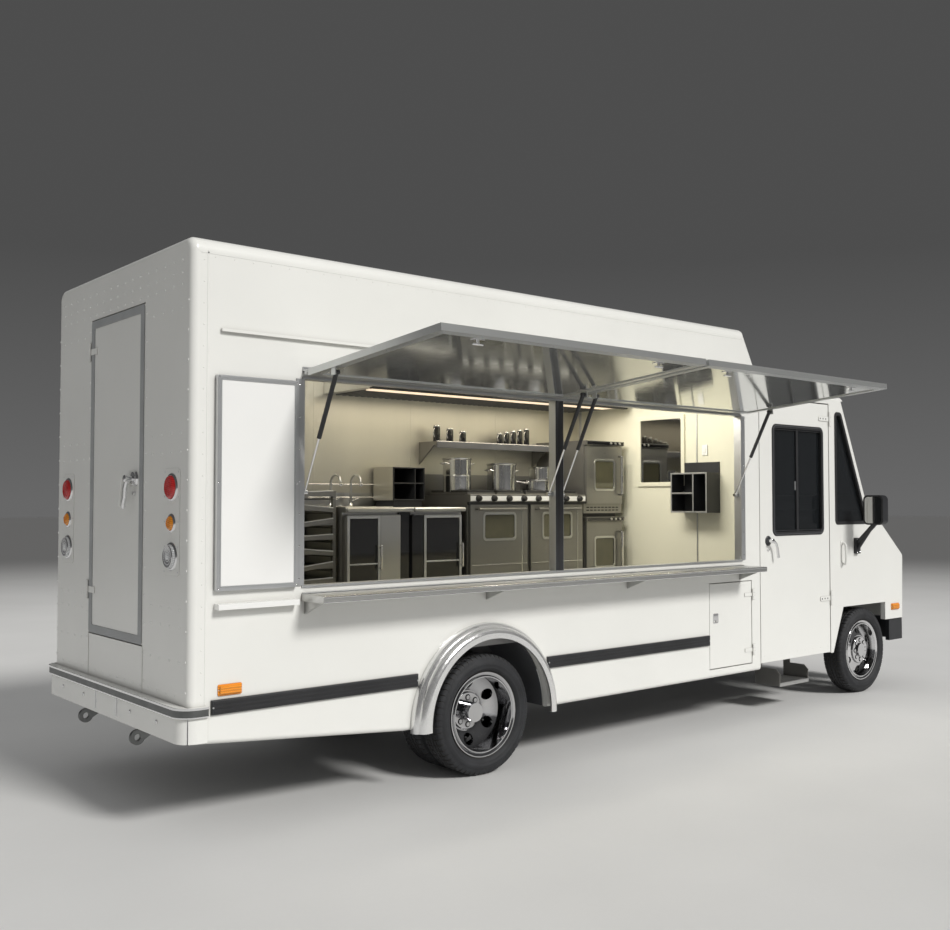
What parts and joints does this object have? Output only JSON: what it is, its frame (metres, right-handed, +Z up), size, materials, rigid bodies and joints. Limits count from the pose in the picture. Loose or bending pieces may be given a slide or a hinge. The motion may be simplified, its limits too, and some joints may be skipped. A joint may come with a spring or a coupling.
{
  "type": "food truck",
  "caption": "Step-van food truck with lifting serving hatches on gas struts, a side counter, a fitted kitchen behind the opening, a driver cab, hinged doors and steered wheels.",
  "frame": {"origin": "on the ground under the middle of the box round the whole truck, with its hatches open", "axes": "+X forwards, +Y to the left, +Z up"},
  "size_m": [7.863, 3.8272, 3.334],
  "materials": {
    "white_paint": "satin warm white paint",
    "grey_frame": "black chassis paint",
    "cast": "rough cast iron",
    "stainless": "brushed stainless steel",
    "aluminium": "satin aluminium",
    "chrome": "bright chrome",
    "tyre": "matt rubber",
    "black_trim": "satin black",
    "glass": "dark tinted glass",
    "red_lens": "clear red lens",
    "amber_lens": "clear amber lens",
    "clear_lens": "clear lens",
    "cream": "satin cream lining",
    "seat_vinyl": "black vinyl",
    "dash_plastic": "grained dark grey",
    "floor_sheet": "worn aluminium sheet",
    "board_white": "gloss white board"
  },
  "bodies": {
    "chassis": {"frame_rails": "grey_frame", "tow_eyes": "grey_frame", "front_axle": "cast", "rear_axle": "cast", "powertrain": "cast", "fuel_tank": "grey_frame", "floor": "floor_sheet", "right_wall": "white_paint", "left_wall": "white_paint", "rear_wall": "white_paint", "roof": "white_paint", "partition": "cream", "cab_roof": "white_paint", "cab_sides": "white_paint", "cab_front": "white_paint", "fixed_glass": "glass", "grille": "black_trim", "rear_bumper": "white_paint", "front_bumper": "black_trim", "wheel_flares": "chrome", "rub_rails": "black_trim", "counter": "stainless", "window_frame": "aluminium", "menu_board": "board_white", "red_lamps": "red_lens", "amber_lamps": "amber_lens", "clear_lamps": "clear_lens", "mirrors": "black_trim", "entry_steps": "aluminium", "driver_seat": "seat_vinyl", "dashboard": "dash_plastic", "cooking_line": "stainless", "hood": "stainless", "wall_shelf": "stainless", "sink_counter": "stainless", "pan_rack": "aluminium", "organiser": "black_trim", "cookware": "stainless"},
    "rear_door": {"rear_door": "white_paint"},
    "access_door": {"access_door": "white_paint"},
    "hatch_rear": {"hatch_rear": "aluminium"},
    "strut_cylinders_rear": {"strut_cylinders_rear": "black_trim"},
    "strut_rods_rear": {"strut_rods_rear": "chrome"},
    "hatch_front": {"hatch_front": "aluminium"},
    "strut_cylinders_front": {"strut_cylinders_front": "black_trim"},
    "strut_rods_front": {"strut_rods_front": "chrome"},
    "right_cab_door": {"right_door": "white_paint", "right_door_glass": "glass"},
    "right_knuckle": {"right_knuckle": "cast"},
    "right_front_wheel": {"right_front_tyre": "tyre", "right_front_rim": "chrome"},
    "right_rear_wheel": {"right_rear_tyres": "tyre", "right_rear_rims": "chrome"},
    "left_cab_door": {"left_door": "white_paint", "left_door_glass": "glass"},
    "left_knuckle": {"left_knuckle": "cast"},
    "left_front_wheel": {"left_front_tyre": "tyre", "left_front_rim": "chrome"},
    "left_rear_wheel": {"left_rear_tyres": "tyre", "left_rear_rims": "chrome"}
  },
  "joints": [
    {"name": "hatch_rear_lift", "type": "hinge", "parent": "chassis", "child": "hatch_rear", "pos_m": [-2.10225, -0.61638, 2.614], "axis": [1, 0, 0], "range_deg": [0, 95]},
    {"name": "strut_rear_swing", "type": "hinge", "parent": "hatch_rear", "child": "strut_cylinders_rear", "pos_m": [-2.10225, -0.88928, 2.5927], "axis": [1, 0, 0], "range_deg": [-118.3, 0.5]},
    {"name": "strut_rear_slide", "type": "slide", "parent": "strut_cylinders_rear", "child": "strut_rods_rear", "axis": [0, 0.4488, -0.8936], "range_m": [-0.3321, 0.002]},
    {"name": "hatch_front_lift", "type": "hinge", "parent": "chassis", "child": "hatch_front", "pos_m": [0.07475, -0.61638, 2.614], "axis": [1, 0, 0], "range_deg": [0, 95]},
    {"name": "strut_front_swing", "type": "hinge", "parent": "hatch_front", "child": "strut_cylinders_front", "pos_m": [0.07475, -0.88928, 2.5927], "axis": [1, 0, 0], "range_deg": [-118.3, 0.5]},
    {"name": "strut_front_slide", "type": "slide", "parent": "strut_cylinders_front", "child": "strut_rods_front", "axis": [0, 0.4488, -0.8936], "range_m": [-0.3321, 0.002]},
    {"name": "rear_door_hinge", "type": "hinge", "parent": "chassis", "child": "rear_door", "pos_m": [-3.8785, 0.93512, 2.0515], "axis": [0, 0, -1], "range_deg": [0, 110]},
    {"name": "access_door_hinge", "type": "hinge", "parent": "chassis", "child": "access_door", "pos_m": [1.2995, -0.58638, 0.8115], "axis": [0, 0, 1], "range_deg": [0, 90]},
    {"name": "right_cab_door_hinge", "type": "hinge", "parent": "chassis", "child": "right_cab_door", "pos_m": [2.5255, -0.58638, 1.7815], "axis": [0, 0, 1], "range_deg": [0, 80]},
    {"name": "right_steer", "type": "hinge", "parent": "chassis", "child": "right_knuckle", "pos_m": [3.1155, -0.30638, 0.405], "axis": [0, 0, 1], "range_deg": [-35, 35]},
    {"name": "right_front_wheel_spin", "type": "hinge", "parent": "right_knuckle", "child": "right_front_wheel", "pos_m": [3.1155, -0.46388, 0.405], "axis": [0, 1, 0], "continuous": true},
    {"name": "right_rear_wheel_spin", "type": "hinge", "parent": "chassis", "child": "right_rear_wheel", "pos_m": [-1.7285, -0.35638, 0.405], "axis": [0, 1, 0], "continuous": true},
    {"name": "left_cab_door_hinge", "type": "hinge", "parent": "chassis", "child": "left_cab_door", "pos_m": [2.5255, 1.57362, 1.7815], "axis": [0, 0, -1], "range_deg": [0, 80]},
    {"name": "left_steer", "type": "hinge", "parent": "chassis", "child": "left_knuckle", "pos_m": [3.1155, 1.29362, 0.405], "axis": [0, 0, 1], "range_deg": [-35, 35]},
    {"name": "left_front_wheel_spin", "type": "hinge", "parent": "left_knuckle", "child": "left_front_wheel", "pos_m": [3.1155, 1.45112, 0.405], "axis": [0, 1, 0], "continuous": true},
    {"name": "left_rear_wheel_spin", "type": "hinge", "parent": "chassis", "child": "left_rear_wheel", "pos_m": [-1.7285, 1.34362, 0.405], "axis": [0, 1, 0], "continuous": true}
  ],
  "couplings": [
    {"joint": "strut_rear_swing", "follows": "hatch_rear_lift", "ratio": -1.24},
    {"joint": "strut_rear_slide", "follows": "hatch_rear_lift", "m_per_rad": -0.19911},
    {"joint": "strut_front_swing", "follows": "hatch_front_lift", "ratio": -1.24},
    {"joint": "strut_front_slide", "follows": "hatch_front_lift", "m_per_rad": -0.19911},
    {"joint": "left_steer", "follows": "right_steer", "ratio": 1}
  ]
}
